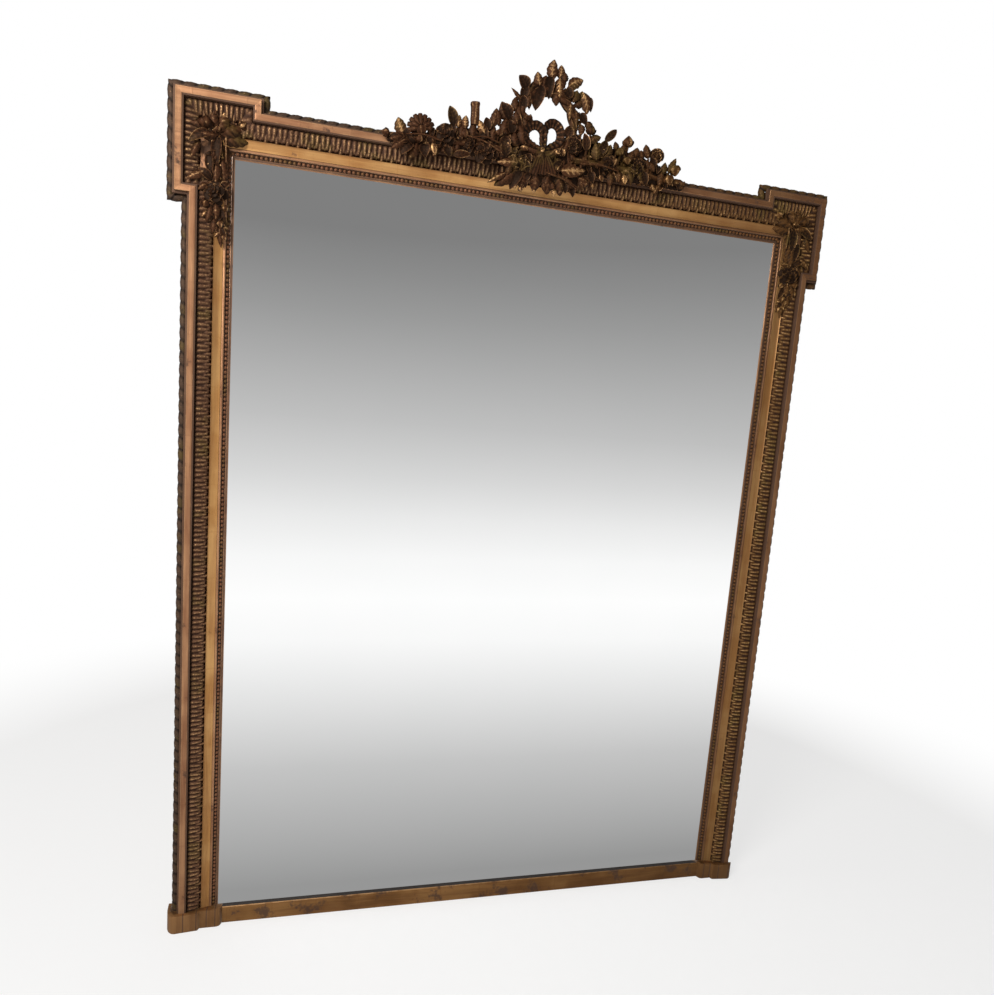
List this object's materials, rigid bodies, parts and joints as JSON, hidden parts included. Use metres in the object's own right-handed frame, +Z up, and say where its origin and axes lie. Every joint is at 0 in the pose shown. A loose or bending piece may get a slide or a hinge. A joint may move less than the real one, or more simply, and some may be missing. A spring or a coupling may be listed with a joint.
{
  "type": "trumeau mirror",
  "caption": "Gilded trumeau mirror with stepped corners, beaded and leaf-carved mouldings, a wreath crest, corner garlands and a footed base.",
  "frame": {"origin": "middle of the whole part's outline, on the plane of its flat base", "axes": "+X to the viewer's right, +Y from the glass to the wall behind, +Z up"},
  "size_m": [1.2994, 0.0878, 1.677],
  "materials": {
    "gilt_wood": "burnished water gilding, worn and toned",
    "copper_gilt_wood": "copper-toned gilding over red bole",
    "bronzed_carving": "dark bronze patina with rubbed gilt high points",
    "base_gilt_wood": "toned gilding with dark stains",
    "pine": "bare aged softwood",
    "silvered_glass": "silvered plate glass",
    "wrought_iron": "blackened",
    "hanger_brass": "aged"
  },
  "bodies": {
    "frame": {"stile_left": "pine", "stile_right": "pine", "top_rail": "pine", "bottom_rail": "pine", "ear_block_left": "pine", "ear_block_right": "pine", "bead_moulding_left": "copper_gilt_wood", "bead_moulding_right": "copper_gilt_wood", "bead_moulding_top": "copper_gilt_wood", "plain_band_left": "gilt_wood", "plain_band_right": "gilt_wood", "plain_band_top": "gilt_wood", "leaf_moulding_left": "bronzed_carving", "leaf_moulding_right": "bronzed_carving", "leaf_moulding_ear_left": "bronzed_carving", "leaf_moulding_ear_right": "bronzed_carving", "leaf_moulding_top": "bronzed_carving", "edge_moulding_left": "copper_gilt_wood", "edge_moulding_right": "copper_gilt_wood", "edge_moulding_ear_left": "copper_gilt_wood", "edge_moulding_ear_right": "copper_gilt_wood", "edge_moulding_top": "copper_gilt_wood", "rope_moulding_left": "bronzed_carving", "rope_moulding_right": "bronzed_carving", "rope_moulding_ear_left": "bronzed_carving", "rope_moulding_ear_right": "bronzed_carving", "rope_moulding_top": "bronzed_carving", "ear_panel_left": "gilt_wood", "ear_panel_right": "gilt_wood", "foot_block_left": "base_gilt_wood", "foot_block_right": "base_gilt_wood", "base_rail": "base_gilt_wood", "crest_wreath": "bronzed_carving", "crest_bow": "bronzed_carving", "crest_spray_left": "bronzed_carving", "crest_spray_right": "bronzed_carving", "crest_strap_left": "wrought_iron", "crest_strap_right": "wrought_iron", "corner_garland_left": "bronzed_carving", "corner_garland_right": "bronzed_carving", "mirror_plate": "silvered_glass", "glazing_block_upper_left": "pine", "glazing_block_upper_right": "pine", "glazing_block_lower_left": "pine", "glazing_block_lower_right": "pine", "glazing_block_top": "pine", "glazing_block_bottom": "pine", "back_board_1": "pine", "back_board_2": "pine", "back_board_3": "pine", "hanger_plate_left": "hanger_brass", "hanger_plate_right": "hanger_brass", "hanger_screw_upper_left": "hanger_brass", "hanger_screw_upper_right": "hanger_brass", "hanger_screw_lower_left": "hanger_brass", "hanger_screw_lower_right": "hanger_brass", "strap_screw_left": "wrought_iron", "strap_screw_right": "wrought_iron"},
    "ring_left": {"hanging_ring_left": "hanger_brass"},
    "ring_right": {"hanging_ring_right": "hanger_brass"}
  },
  "joints": [
    {"name": "ring_left_hinge", "type": "hinge", "parent": "frame", "child": "ring_left", "pos_m": [-0.5805, 0.03915, 1.3], "axis": [1, 0, 0], "range_deg": [0, 170]},
    {"name": "ring_right_hinge", "type": "hinge", "parent": "frame", "child": "ring_right", "pos_m": [0.5805, 0.03915, 1.3], "axis": [1, 0, 0], "range_deg": [0, 170]}
  ]
}
